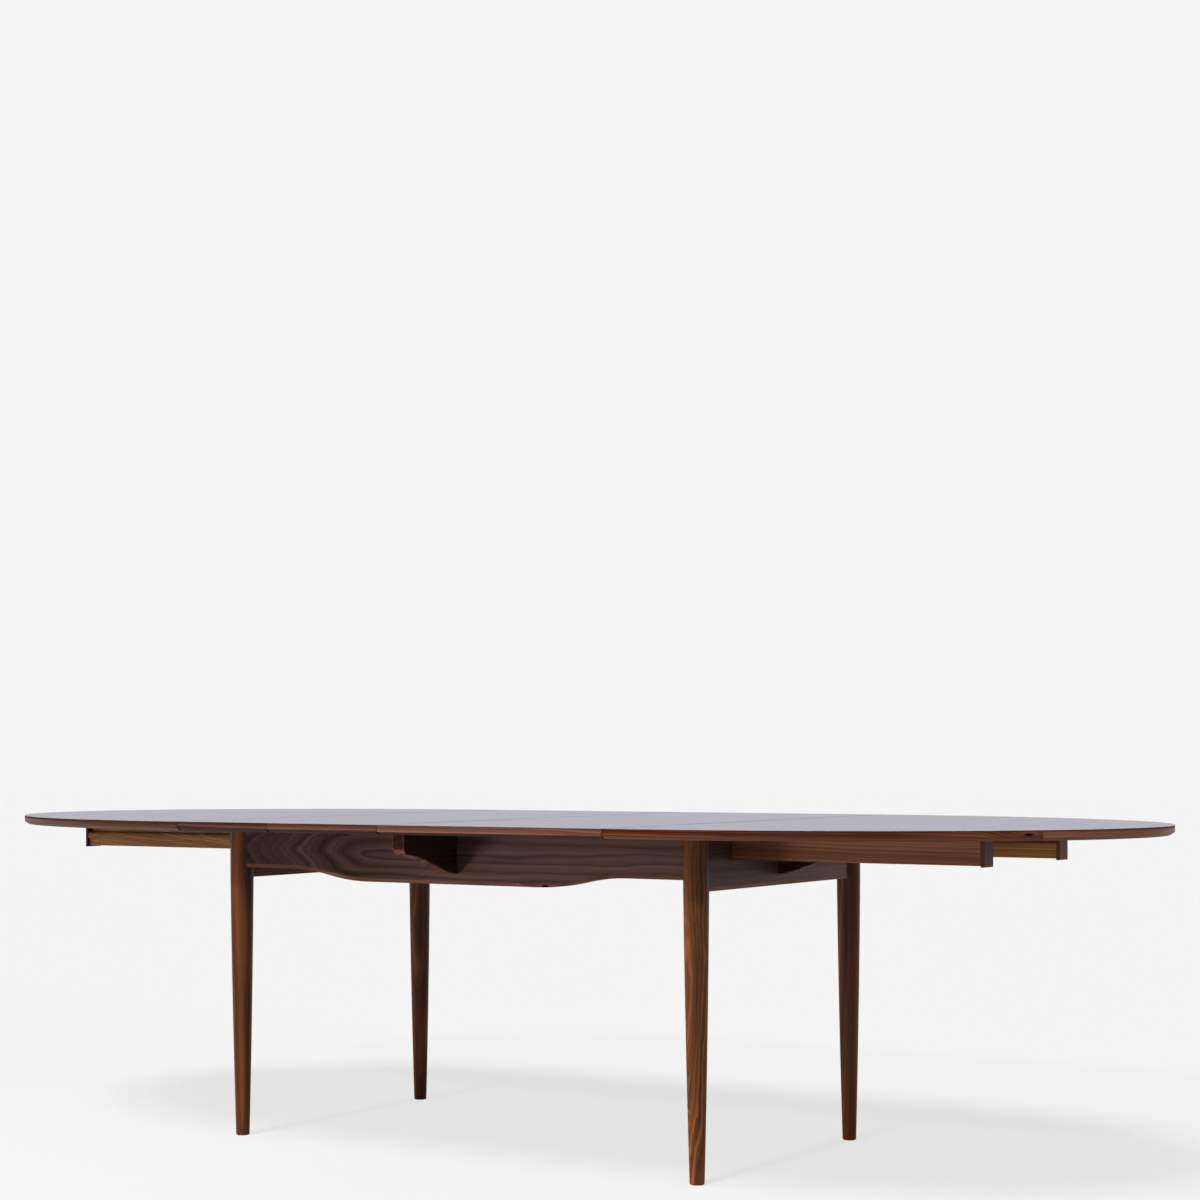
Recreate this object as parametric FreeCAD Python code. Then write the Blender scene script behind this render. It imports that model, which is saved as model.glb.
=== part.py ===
import FreeCAD, Part
import math
import os

# Oval dining table that pulls out from the middle, shown opened with both leaves in.
# Two half tops hang on wooden runners, and two loose leaves lie between them on a
# frame of four aprons and four turned legs.
# The origin is on the floor under the middle of the table. X runs along the table
# to the right, -Y faces the front and Z is up. All sizes are in millimetres.

os.makedirs("parts", exist_ok=True)
vector = FreeCAD.Vector

# Overall sizes: the closed top is a true oval, and each leaf adds its own width.
table_height = 720.0
closed_length = 1800.0
top_width = 1200.0
leaf_width = 550.0

# Tops and leaves: a veneered board inside a solid edge that is bevelled underneath. The
# edge's lengths meet at these shares of a quarter turn round the oval.
top_thickness = 20.0
veneer_thickness = 1.0
edge_depth = 12.0
edge_bevel_rise = 6.0
edge_bevel_run = 9.0
edge_joint_shares = (-1 / 3, 1 / 3)
arris = 0.8
seam_gap = 0.6

# Alignment dowels in the seams between the tops.
dowel_diameter = 10.0
dowel_seat = 20.0
dowel_reach = 13.0
dowel_nose = 2.0
dowel_clearance = 0.4
dowel_spacing = 280.0
dowel_place_shares = (-1.5, -0.5, 0.5, 1.5)

# Legs, turned with a slight swell between foot and top.
leg_top_diameter = 52.4
leg_foot_diameter = 30.4
leg_swell = 1.2
foot_round = 3.0

# Frame of aprons. Its length and width are measured over the apron faces.
frame_length = 1227.0
frame_width = 688.0
apron_thickness = 24.0
strip_height = 7.5
wave_rise = 24.0
wave_flat_half = 226.0
wave_run = 220.0
tenon_thickness = 8.0
tenon_length = 16.0
tenon_shoulder = 10.0

# Runners: each has one flat side and one side with a rounded ridge under a groove.
runner_width = 43.0
runner_height = 54.0
runner_gap = 3.5
runner_setback = 8.0
ridge_proud = 6.0
ridge_low = 18.0
ridge_nose = 2.0
ridge_flat = 3.0
ridge_round = 11.0
groove_depth = 16.0
groove_height = 7.0
notch_clearance = 0.5
cap_thickness = 8.0
cap_drop = 3.0
cap_round = 1.5

# Stops let each half top pull out a little more, to free the dowels.
pull_out = 50.0
stop_length = 26.0
stop_width = 30.0
stop_clearance = 2.0
stop_end_clearance = 0.5

# Fixed guides beside the runners, and the two cross rails under the guides.
guide_thickness = 22.0
guide_clearance = 1.0
guide_top_clearance = 2.0
guide_drop = 20.0
guide_to_apron = 41.5
tongue_clearance = 0.5
cross_rail_width = 50.0
cross_rail_thickness = 26.0
cross_rail_offset = 200.0
cross_rail_cover = 6.5
stub_length = 10.0
stub_shoulder = 6.0

# Corner blocks behind the legs.
block_clearance = 3.5
block_height = 74.0
block_top_gap = 10.0

# Brackets that carry the tops outside the frame, with a hollow-and-round underside.
bracket_thickness = 30.0
bracket_reach = 185.0
bracket_root_depth = 91.0
bracket_nose_radius = 117.0
bracket_slope_degrees = 20.0
bracket_straight = 60.0
bracket_sweep_radius = 300.0
bracket_tip_slope_degrees = 10.0
bracket_tip_radius = 18.0
bracket_edge_round = 3.0
bracket_turn_degrees = {"right": 0, "back": 90, "left": 180, "front": 270}

# Wood screws with flat countersunk heads.
screw_diameter = 5.0
screw_head_diameter = 10.0
screw_head_height = 3.5
screw_tip = 5.0
counterbore_diameter = 13.0
runner_screw_length = 45.0
runner_screw_cover = 8.0
runner_screw_shares = (0.12, 0.5, 0.88)
guide_screw_length = 45.0
corner_screw_length = 38.0
bracket_screw_length = 70.0
bracket_screw_shares = (0.27, 0.68)
corner_screw_shares = (0.25, 0.75)

# Cuts run this far past the faces that they open, and points this near are one place.
overrun = 5.0
same_place = 0.01

# Places worked out from the sizes above.
underside = table_height - top_thickness
core_top = table_height - veneer_thickness
apron_depth = (runner_height + guide_drop + cross_rail_thickness
               + cross_rail_cover + strip_height)
apron_bottom = underside - apron_depth
wave_end_bottom = apron_bottom + wave_rise
end_face = frame_length / 2
end_inside = end_face - apron_thickness
side_face = frame_width / 2
side_inside = side_face - apron_thickness
leg_x = end_face - apron_thickness / 2
leg_y = side_face - apron_thickness / 2
leg_top_radius = leg_top_diameter / 2
leg_foot_radius = leg_foot_diameter / 2
runner_bottom = underside - runner_height
runner_end = end_face + leaf_width
guide_bottom = runner_bottom - guide_drop
cross_rail_bottom = guide_bottom - cross_rail_thickness
stop_outer = end_inside - pull_out - stop_end_clearance
stop_height = guide_drop - stop_clearance
groove_low = ridge_low + ridge_nose + ridge_flat + ridge_round
groove_high = groove_low + groove_height

# Distances from the long centre line, worked inwards from the side aprons: the left
# half's runners run in the outer tracks and the right half's in the inner tracks.
outer_guide_far = side_inside - guide_to_apron
outer_guide_near = outer_guide_far - guide_thickness
outer_track_far = outer_guide_near - guide_clearance
outer_track_near = outer_track_far - runner_width
inner_track_far = outer_track_near - runner_gap
inner_track_near = inner_track_far - runner_width
inner_guide_far = inner_track_near - guide_clearance
inner_guide_near = inner_guide_far - guide_thickness

sides = {"front": -1, "back": 1}
ends = {"left": -1, "right": 1}


# Shared helpers

def save(name, shape):
    """Write one piece, or one group of like pieces, under its own name."""
    solids = shape.Solids
    result = solids[0] if len(solids) == 1 else Part.makeCompound(solids)
    result.exportStep("parts/" + name + ".step")


def box(x, y, z):
    """Box between the given pairs of limits, each pair in either order."""
    lows = [min(pair) for pair in (x, y, z)]
    lengths = [max(pair) - min(pair) for pair in (x, y, z)]
    return Part.makeBox(lengths[0], lengths[1], lengths[2], vector(lows[0], lows[1], lows[2]))


def closed_face(edges):
    """Flat face inside a ring of edges."""
    return Part.Face(Part.Wire(Part.__sortEdges__(edges)))


def section_along_x(points, x_from, x_to):
    """Extrude a polygon of (y, z) points between two places on X."""
    corners = [vector(x_from, y, z) for y, z in points]
    face = Part.Face(Part.makePolygon(corners + corners[:1]))
    return face.extrude(vector(x_to - x_from, 0, 0))


def placed(shape, point, direction):
    """Turn a shape from +Z to a direction and set its origin on a point."""
    copy = shape.copy()
    copy.Placement = FreeCAD.Placement(point, FreeCAD.Rotation(vector(0, 0, 1), direction))
    return copy


def cut_all(shape, tools):
    """Take every tool out of a shape."""
    return shape.cut(tools) if tools else shape


def half_turn(shape):
    """Copy of a shape turned half round the upright centre line, for the other end."""
    copy = shape.copy()
    copy.rotate(vector(0, 0, 0), vector(0, 0, 1), math.degrees(math.pi))
    return copy


def sawn_across(shape, depth, cuts):
    """Lengths that a piece of the given depth falls into at butt joints. Each cut is a
    point at the bottom of the piece's outer face and the flat direction out of that face."""
    up = vector(0, 0, shape.BoundBox.ZLength + 2 * overrun)
    below = vector(0, 0, -overrun)
    joints = []
    for point, outwards in cuts:
        near = point - outwards * (depth + overrun) + below
        far = point + outwards * overrun + below
        joints.append(Part.Face(Part.makePolygon([near, far, far + up, near + up, near])))
    return Part.makeCompound(shape.generalFuse(joints)[0].Solids)


# Wood screws

def screw(length):
    """Countersunk wood screw with its head's flat top at the origin, pointing along +Z."""
    shank = screw_diameter / 2
    head = screw_head_diameter / 2
    outline = [vector(0, 0, 0), vector(head, 0, 0), vector(shank, 0, screw_head_height),
               vector(shank, 0, length - screw_tip), vector(0, 0, length), vector(0, 0, 0)]
    return Part.Face(Part.makePolygon(outline)).revolve(vector(0, 0, 0), vector(0, 0, 1))


# Legs

def leg_blank(end, side):
    """Turned leg: a rounded foot, one long swelling arc up to the aprons, and a straight
    round head between them. Its seam faces away from the frame."""
    middle_radius = (leg_top_radius + leg_foot_radius) / 2 + leg_swell
    foot_edge = vector(leg_foot_radius, 0, foot_round)
    foot_flat = vector(leg_foot_radius - foot_round, 0, 0)
    inwards = foot_round * (1 - math.sqrt(2) / 2)
    foot_middle = vector(leg_foot_radius - inwards, 0, inwards)
    swell_middle = vector(middle_radius, 0, apron_bottom / 2)
    head_edge = vector(leg_top_radius, 0, apron_bottom)
    top_edge = vector(leg_top_radius, 0, underside)
    edges = [Part.makeLine(vector(0, 0, 0), foot_flat),
             Part.Arc(foot_flat, foot_middle, foot_edge).toShape(),
             Part.Arc(foot_edge, swell_middle, head_edge).toShape(),
             Part.makeLine(head_edge, top_edge),
             Part.makeLine(top_edge, vector(0, 0, underside)),
             Part.makeLine(vector(0, 0, underside), vector(0, 0, 0))]
    leg = closed_face(edges).revolve(vector(0, 0, 0), vector(0, 0, 1))
    leg.rotate(vector(0, 0, 0), vector(0, 0, 1), math.degrees(math.atan2(side, end)))
    leg.translate(vector(end * leg_x, side * leg_y, 0))
    return leg


def leg_head(end, side):
    """Round space that a leg's straight head takes out of the pieces around it."""
    foot = vector(end * leg_x, side * leg_y, apron_bottom - overrun)
    return Part.makeCylinder(leg_top_radius, apron_depth + 2 * overrun, foot)


# Side aprons with a wave along their bottom edge

def wave_edges(y, lift):
    """Bottom line of a side apron: level at the legs, deeper in the middle, with a
    reverse curve of two equal arcs between, raised by lift."""
    high = wave_end_bottom + lift
    low = apron_bottom + lift
    outer = wave_flat_half + wave_run
    radius = (wave_run ** 2 + wave_rise ** 2) / (4 * wave_rise)
    half_angle = math.asin(wave_run / 2 / radius) / 2
    along = radius * math.sin(half_angle)
    across = radius * (1 - math.cos(half_angle))
    edges = [Part.makeLine(vector(-wave_flat_half, y, low), vector(wave_flat_half, y, low))]
    for end in ends.values():
        top = vector(end * outer, y, high)
        middle = vector(end * (outer - wave_run / 2), y, (high + low) / 2)
        bottom = vector(end * wave_flat_half, y, low)
        upper_way = vector(end * (outer - along), y, high - across)
        lower_way = vector(end * (wave_flat_half + along), y, low + across)
        edges.append(Part.Arc(top, upper_way, middle).toShape())
        edges.append(Part.Arc(middle, lower_way, bottom).toShape())
        edges.append(Part.makeLine(top, vector(end * leg_x, y, high)))
    return edges


def side_apron_board(side, heads):
    """Veneered side apron above its edge strip, scribed to the legs."""
    y = side * side_face
    low = wave_end_bottom + strip_height
    edges = wave_edges(y, strip_height)
    edges.append(Part.makeLine(vector(-leg_x, y, underside), vector(leg_x, y, underside)))
    for end in ends.values():
        edges.append(Part.makeLine(vector(end * leg_x, y, low),
                                   vector(end * leg_x, y, underside)))
    board = closed_face(edges).extrude(vector(0, -side * apron_thickness, 0))
    return cut_all(board, heads)


def side_apron_strip(side, heads):
    """Solid strip that follows the wave under a side apron, in three lengths that are
    butted where the wave begins."""
    y = side * side_face
    edges = wave_edges(y, 0) + wave_edges(y, strip_height)
    for end in ends.values():
        edges.append(Part.makeLine(vector(end * leg_x, y, wave_end_bottom),
                                   vector(end * leg_x, y, wave_end_bottom + strip_height)))
    strip = closed_face(edges).extrude(vector(0, -side * apron_thickness, 0))
    cuts = [(vector(end * wave_flat_half, y, apron_bottom), vector(0, side, 0))
            for end in ends.values()]
    return sawn_across(cut_all(strip, heads), apron_thickness, cuts)


def side_tenon(end, side):
    """Tenon from a side apron into a leg."""
    tip = leg_x - leg_top_radius + tenon_length
    root = leg_x - leg_top_radius - overrun
    return box((end * root, end * tip),
               (side * leg_y - tenon_thickness / 2, side * leg_y + tenon_thickness / 2),
               (wave_end_bottom + strip_height + tenon_shoulder, underside - tenon_shoulder))


# End aprons with notches for the runners

def end_apron_board(end, heads):
    """Veneered end apron with two notches that the runners of its own half pass through."""
    board = box((end * end_face, end * end_inside), (-leg_y, leg_y),
                (apron_bottom + strip_height, underside))
    near, far = runner_track(end)
    notches = [box((end * (end_inside - overrun), end * (end_face + overrun)),
                   (side * (near - notch_clearance), side * (far + notch_clearance)),
                   (runner_bottom, underside + overrun)) for side in sides.values()]
    return cut_all(board, heads + notches)


def end_apron_strip(end, heads):
    """Solid strip along the straight bottom edge of an end apron."""
    strip = box((end * end_face, end * end_inside), (-leg_y, leg_y),
                (apron_bottom, apron_bottom + strip_height))
    return cut_all(strip, heads)


def end_tenon(end, side):
    """Tenon from an end apron into a leg."""
    tip = leg_y - leg_top_radius + tenon_length
    root = leg_y - leg_top_radius - overrun
    return box((end * leg_x - tenon_thickness / 2, end * leg_x + tenon_thickness / 2),
               (side * root, side * tip),
               (apron_bottom + strip_height + tenon_shoulder, underside - tenon_shoulder))


# Runners

def runner_track(end):
    """Near and far distance of one half's runners from the long centre line."""
    if end > 0:
        return inner_track_near, inner_track_far
    return outer_track_near, outer_track_far


def runner_y(end, side, across):
    """Place on Y of a point at a distance across the runner from its flat side."""
    near, far = runner_track(end)
    return side * (far - across if end > 0 else near + across)


def runner_blank(end, side):
    """Runner with its section carried along its whole length. The ridge has a small round
    below, a narrow flat and a full round above, which ends at the groove."""
    shoulder = runner_width - ridge_proud
    floor = runner_width - groove_depth
    x_from = end * runner_setback
    short_of_corner = 1 - math.sqrt(2) / 2

    def at(across, up):
        return vector(x_from, runner_y(end, side, across), runner_bottom + up)

    nose_in = at(runner_width - ridge_nose, ridge_low)
    nose_middle = at(runner_width - ridge_nose * short_of_corner,
                     ridge_low + ridge_nose * short_of_corner)
    nose_out = at(runner_width, ridge_low + ridge_nose)
    round_out = at(runner_width, groove_low - ridge_round)
    round_middle = at(runner_width - ridge_round * short_of_corner,
                      groove_low - ridge_round * short_of_corner)
    round_in = at(runner_width - ridge_round, groove_low)
    lower = [at(0, 0), at(shoulder, 0), at(shoulder, ridge_low), nose_in]
    upper = [round_in, at(floor, groove_low), at(floor, groove_high),
             at(shoulder, groove_high), at(shoulder, runner_height),
             at(0, runner_height), at(0, 0)]
    edges = [Part.Arc(nose_in, nose_middle, nose_out).toShape(),
             Part.makeLine(nose_out, round_out),
             Part.Arc(round_out, round_middle, round_in).toShape()]
    for corners in (lower, upper):
        edges += [Part.makeLine(a, b) for a, b in zip(corners, corners[1:])]
    return closed_face(edges).extrude(vector(end * (runner_end - runner_setback), 0, 0))


def cap(end, side):
    """Rosewood plate on the outer end of a runner, with softened front edges."""
    near, far = runner_track(end)
    plate = box((end * runner_end, end * (runner_end + cap_thickness)),
                (side * near, side * far), (runner_bottom - cap_drop, underside))
    front = end * (runner_end + cap_thickness)
    edges = [edge for edge in plate.Edges
             if all(abs(corner.Point.x - front) < same_place for corner in edge.Vertexes)
             and not all(abs(corner.Point.z - underside) < same_place
                         for corner in edge.Vertexes)]
    return plate.makeFillet(cap_round, edges)


def runner_screws(end, side):
    """Screws up through a runner into its half top, and one up through its stop."""
    web_middle = (runner_width - groove_depth) / 2
    y = runner_y(end, side, web_middle)
    head = core_top - runner_screw_cover - runner_screw_length
    first = leaf_width + seam_gap
    up = vector(0, 0, 1)
    blank = screw(runner_screw_length)
    screws = [placed(blank, vector(end * (first + share * (runner_end - first)), y, head), up)
              for share in runner_screw_shares]
    stop_middle = vector(end * (stop_outer - stop_length / 2),
                         runner_y(end, side, runner_width / 2), runner_bottom - stop_height)
    return screws + [placed(blank, stop_middle, up)]


def counterbores(end, side):
    """Round holes up from a runner's bottom to its screw heads."""
    web_middle = (runner_width - groove_depth) / 2
    y = runner_y(end, side, web_middle)
    head = core_top - runner_screw_cover - runner_screw_length
    first = leaf_width + seam_gap
    return [Part.makeCylinder(counterbore_diameter / 2, head - runner_bottom + overrun,
                              vector(end * (first + share * (runner_end - first)), y,
                                     runner_bottom - overrun))
            for share in runner_screw_shares]


# Stop blocks under the runners

def runner_stop(end, side):
    """Block under a runner that meets the end apron when the half top is pulled out."""
    middle = runner_y(end, side, runner_width / 2)
    return box((end * stop_outer, end * (stop_outer - stop_length)),
               (middle - stop_width / 2, middle + stop_width / 2),
               (runner_bottom - stop_height, runner_bottom))


# Guides and cross rails

def guide(end, side):
    """Fixed guide whose tongue runs in the groove of one half's runner."""
    face = runner_width + guide_clearance
    back = face + guide_thickness
    tip = runner_width - groove_depth + guide_clearance
    high = runner_height - guide_top_clearance
    outline = [(back, -guide_drop), (face, -guide_drop),
               (face, groove_low + tongue_clearance), (tip, groove_low + tongue_clearance),
               (tip, groove_high - tongue_clearance), (face, groove_high - tongue_clearance),
               (face, high), (back, high)]
    points = [(runner_y(end, side, across), runner_bottom + up) for across, up in outline]
    return section_along_x(points, -end_inside, end_inside)


def guide_middle(end):
    """Distance of a guide's middle from the long centre line."""
    if end > 0:
        return (inner_guide_near + inner_guide_far) / 2
    return (outer_guide_near + outer_guide_far) / 2


def cross_rail_stub(end):
    """Stub tenons of a cross rail, as one bar that runs into both side aprons."""
    half = cross_rail_width / 2 - stub_shoulder
    middle = end * cross_rail_offset
    reach = side_inside + stub_length
    return box((middle - half, middle + half), (-reach, reach),
               (cross_rail_bottom + stub_shoulder, guide_bottom - stub_shoulder))


def cross_rail(end):
    """Flat rail between the side aprons that carries the guides."""
    middle = end * cross_rail_offset
    rail = box((middle - cross_rail_width / 2, middle + cross_rail_width / 2),
               (-side_inside, side_inside), (cross_rail_bottom, guide_bottom))
    return rail.fuse(cross_rail_stub(end)).removeSplitter()


def guide_screws():
    """One screw up through each crossing of a cross rail and a guide."""
    blank = screw(guide_screw_length)
    up = vector(0, 0, 1)
    return [placed(blank, vector(rail * cross_rail_offset, side * guide_middle(end),
                                 cross_rail_bottom), up)
            for rail in ends.values() for side in sides.values() for end in ends.values()]


# Corner blocks

def corner_block(end, side, heads):
    """Three-cornered block glued behind a leg."""
    size = guide_to_apron - block_clearance
    corner = vector(end * end_inside, side * side_inside, underside - block_top_gap - block_height)
    along = vector(-end * size, 0, 0)
    across = vector(0, -side * size, 0)
    face = Part.Face(Part.makePolygon([corner, corner + along, corner + across, corner]))
    return cut_all(face.extrude(vector(0, 0, block_height)), heads)


def corner_screws(end, side):
    """Two screws through a corner block into its leg."""
    size = guide_to_apron - block_clearance
    low = underside - block_top_gap - block_height
    blank = screw(corner_screw_length)
    direction = vector(end, side, 0)
    return [placed(blank, vector(end * (end_inside - size / 2), side * (side_inside - size / 2),
                                 low + share * block_height), direction)
            for share in corner_screw_shares]


# Brackets

def bracket_profile(at):
    """Edges of a bracket's side, from points given as distance out and drop from its top.
    Underside: a round nose at the apron, a straight slope, a hollow sweep and a round tip."""
    slope = math.radians(bracket_slope_degrees)
    tip_slope = math.radians(bracket_tip_slope_degrees)

    def arc_middle(start, radius, angle_from, angle_to, hollow):
        angle = (angle_from + angle_to) / 2
        turn = -1 if hollow else 1
        out = start[0] + turn * radius * (math.sin(angle) - math.sin(angle_from))
        drop = start[1] - turn * radius * (math.cos(angle_from) - math.cos(angle))
        return out, drop

    def arc_end(start, radius, angle_from, angle_to, hollow):
        return arc_middle(start, radius, angle_from, 2 * angle_to - angle_from, hollow)

    root = (0, bracket_root_depth)
    nose_middle = arc_middle(root, bracket_nose_radius, 0, slope, False)
    nose = arc_end(root, bracket_nose_radius, 0, slope, False)
    sweep = (nose[0] + bracket_straight, nose[1] - bracket_straight * math.tan(slope))
    sweep_middle = arc_middle(sweep, bracket_sweep_radius, slope, tip_slope, True)
    hollow = arc_end(sweep, bracket_sweep_radius, slope, tip_slope, True)
    upright = math.pi / 2
    tip_run = bracket_tip_radius * (1 - math.sin(tip_slope))
    tip_start_out = bracket_reach - tip_run
    tip_start = (tip_start_out, hollow[1] - (tip_start_out - hollow[0]) * math.tan(tip_slope))
    tip_middle = arc_middle(tip_start, bracket_tip_radius, tip_slope, upright, False)
    tip = arc_end(tip_start, bracket_tip_radius, tip_slope, upright, False)
    lines = [(root, (0, 0)), ((0, 0), (bracket_reach, 0)), ((bracket_reach, 0), tip),
             (tip_start, hollow), (sweep, nose)]
    arcs = [(tip, tip_middle, tip_start), (hollow, sweep_middle, sweep),
            (nose, nose_middle, root)]
    edges = [Part.makeLine(at(*a), at(*b)) for a, b in lines]
    return edges + [Part.Arc(at(*a), at(*b), at(*c)).toShape() for a, b, c in arcs]


def bracket():
    """Bracket pointing along +X from the origin, with its top at height zero."""
    half = bracket_thickness / 2
    edges = bracket_profile(lambda out, drop: vector(out, -half, -drop))
    solid = closed_face(edges).extrude(vector(0, bracket_thickness, 0))
    rounding = min(bracket_edge_round, half)
    rounded = []
    for edge in solid.Edges:
        points = [corner.Point for corner in edge.Vertexes]
        on_top = all(abs(point.z) < same_place for point in points)
        on_apron = all(abs(point.x) < same_place for point in points)
        crosses = edge.BoundBox.YLength > half
        if not (on_top or on_apron or crosses):
            rounded.append(edge)
    return solid.makeFillet(rounding, rounded)


def bracket_way(name):
    """Direction in which a bracket points out of its apron."""
    turn = FreeCAD.Rotation(vector(0, 0, 1), bracket_turn_degrees[name])
    return turn.multVec(vector(1, 0, 0))


def placed_bracket(name, face):
    """Bracket turned to face outwards and set on an apron's outer face."""
    copy = bracket()
    copy.rotate(vector(0, 0, 0), vector(0, 0, 1), bracket_turn_degrees[name])
    copy.translate(bracket_way(name) * face + vector(0, 0, underside))
    return copy


def bracket_screws(name, face):
    """Two screws from inside an apron into its bracket."""
    direction = bracket_way(name)
    blank = screw(bracket_screw_length)
    start = direction * (face - apron_thickness)
    return [placed(blank, start + vector(0, 0, underside - share * bracket_root_depth),
                   direction) for share in bracket_screw_shares]


# Half tops, drawn as the right half and turned round for the left

def half_oval(inset, height, seam):
    """Wire of half the oval, drawn in by inset and closed by a chord at the seam."""
    semi_long = closed_length / 2 - inset
    semi_short = top_width / 2 - inset
    limit = math.acos(seam / semi_long)
    ellipse = Part.Ellipse(vector(leaf_width, 0, height), semi_long, semi_short)
    curve = Part.ArcOfEllipse(ellipse, -limit, limit).toShape()
    chord = Part.makeLine(curve.Vertexes[-1].Point, curve.Vertexes[0].Point)
    return Part.Wire([curve, chord])


def slab(wire, thickness):
    """Plate of even thickness above a flat wire."""
    return Part.Face(wire).extrude(vector(0, 0, thickness))


def half_core():
    """Board inside the solid edge of a half top."""
    return slab(half_oval(edge_depth, underside, seam_gap / 2), core_top - underside)


def half_panel():
    """Veneered board of a half top: its veneer runs out over the solid edge."""
    seam = seam_gap / 2
    sheet = slab(half_oval(0, core_top, seam), veneer_thickness - arris)
    eased = Part.makeLoft([half_oval(0, table_height - arris, seam),
                           half_oval(arris, table_height, seam + arris)], True, True)
    return half_core().fuse([sheet, eased]).removeSplitter()


def edge_joint(share):
    """Point and outward direction on the oval at a share of a quarter turn round it."""
    semi_long = closed_length / 2
    semi_short = top_width / 2
    angle = share * math.pi / 2
    point = vector(leaf_width + semi_long * math.cos(angle), semi_short * math.sin(angle),
                   underside)
    outwards = vector(semi_short * math.cos(angle), semi_long * math.sin(angle), 0)
    return point, outwards.normalize()


def half_edge():
    """Solid wood edge round a half top, bevelled underneath, in lengths sawn to the curve
    and butted square to it."""
    seam = seam_gap / 2
    bevel = Part.makeLoft([half_oval(edge_bevel_run, underside, seam),
                           half_oval(0, underside + edge_bevel_rise, seam)], True, True)
    upper = slab(half_oval(0, underside + edge_bevel_rise, seam),
                 core_top - underside - edge_bevel_rise)
    edge = bevel.fuse(upper).cut(half_core()).removeSplitter()
    return sawn_across(edge, edge_depth, [edge_joint(share) for share in edge_joint_shares])


# Leaves

def leaf_limits(end):
    """Inner and outer seam face of a leaf on X."""
    return end * seam_gap / 2, end * (leaf_width - seam_gap / 2)


def leaf_panel(end):
    """Veneered board of a leaf, its veneer running out over both solid edges."""
    near, far = leaf_limits(end)
    half = top_width / 2
    core = box((near, far), (-half + edge_depth, half - edge_depth), (underside, core_top))
    sheet = box((near, far), (-half, half), (core_top, table_height - arris))

    def outline(inset, height):
        x_near = near + end * inset
        x_far = far - end * inset
        corners = [vector(x_near, -half + inset, height), vector(x_far, -half + inset, height),
                   vector(x_far, half - inset, height), vector(x_near, half - inset, height)]
        return Part.makePolygon(corners + corners[:1])

    eased = Part.makeLoft([outline(0, table_height - arris), outline(arris, table_height)],
                          True, True)
    return core.fuse([sheet, eased]).removeSplitter()


def leaf_edge(end, side):
    """Solid wood edge along one side of a leaf, with the same bevel as the half tops."""
    near, far = leaf_limits(end)
    half = top_width / 2
    points = [(side * (half - edge_depth), underside), (side * (half - edge_bevel_run), underside),
              (side * half, underside + edge_bevel_rise), (side * half, core_top),
              (side * (half - edge_depth), core_top)]
    return section_along_x(points, near, far)


# Alignment dowels

def dowel():
    """Round dowel along +Z with softened ends, its seated length below the origin."""
    radius = dowel_diameter / 2
    outline = [vector(0, 0, -dowel_seat), vector(radius, 0, -dowel_seat),
               vector(radius, 0, dowel_reach - dowel_nose),
               vector(radius - dowel_nose, 0, dowel_reach), vector(0, 0, dowel_reach),
               vector(0, 0, -dowel_seat)]
    return Part.Face(Part.makePolygon(outline)).revolve(vector(0, 0, 0), vector(0, 0, 1))


def dowel_points(x):
    """Places of the dowels along a seam."""
    height = (underside + core_top) / 2
    return [vector(x, share * dowel_spacing, height) for share in dowel_place_shares]


def seam_dowels(x):
    """Row of dowels seated left of a seam face and pointing to the right."""
    return [placed(dowel(), point, vector(1, 0, 0)) for point in dowel_points(x)]


def dowel_holes(x):
    """Holes that a row of dowels slides into, opened just past the seam face."""
    radius = dowel_diameter / 2 + dowel_clearance
    depth = dowel_reach + dowel_clearance + overrun
    return [Part.makeCylinder(radius, depth, point - vector(overrun, 0, 0), vector(1, 0, 0))
            for point in dowel_points(x)]


# Frame: legs, aprons, strips, blocks, rails, guides and brackets

all_heads = [leg_head(end, side) for side in sides.values() for end in ends.values()]
side_tenons = {(end, side): side_tenon(end, side)
               for end in ends.values() for side in sides.values()}
end_tenons = {(end, side): end_tenon(end, side)
              for end in ends.values() for side in sides.values()}
block_screws = {(end, side): corner_screws(end, side)
                for end in ends.values() for side in sides.values()}

for side_name, side in sides.items():
    for end_name, end in ends.items():
        place = side_name + "_" + end_name
        leg = leg_blank(end, side)
        joints = [side_tenons[end, side], end_tenons[end, side]] + block_screws[end, side]
        save("leg_" + place, cut_all(leg, joints))
        block = corner_block(end, side, all_heads)
        save("corner_block_" + place, cut_all(block, block_screws[end, side]))
save("corner_screws", Part.makeCompound(sum(block_screws.values(), [])))

apron_faces = {name: end_face if name in ends else side_face for name in bracket_turn_degrees}
all_bracket_screws = {name: bracket_screws(name, face) for name, face in apron_faces.items()}
for name, face in apron_faces.items():
    save("bracket_" + name, cut_all(placed_bracket(name, face), all_bracket_screws[name]))
save("bracket_screws", Part.makeCompound(sum(all_bracket_screws.values(), [])))

stubs = [cross_rail_stub(end) for end in ends.values()]
for side_name, side in sides.items():
    board = side_apron_board(side, all_heads)
    board = board.fuse([side_tenons[end, side] for end in ends.values()]).removeSplitter()
    save("apron_" + side_name, cut_all(board, stubs + all_bracket_screws[side_name]))
    save("apron_strip_" + side_name, side_apron_strip(side, all_heads))

for end_name, end in ends.items():
    board = end_apron_board(end, all_heads)
    board = board.fuse([end_tenons[end, side] for side in sides.values()]).removeSplitter()
    save("apron_" + end_name, cut_all(board, all_bracket_screws[end_name]))
    save("apron_strip_" + end_name, end_apron_strip(end, all_heads))

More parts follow.
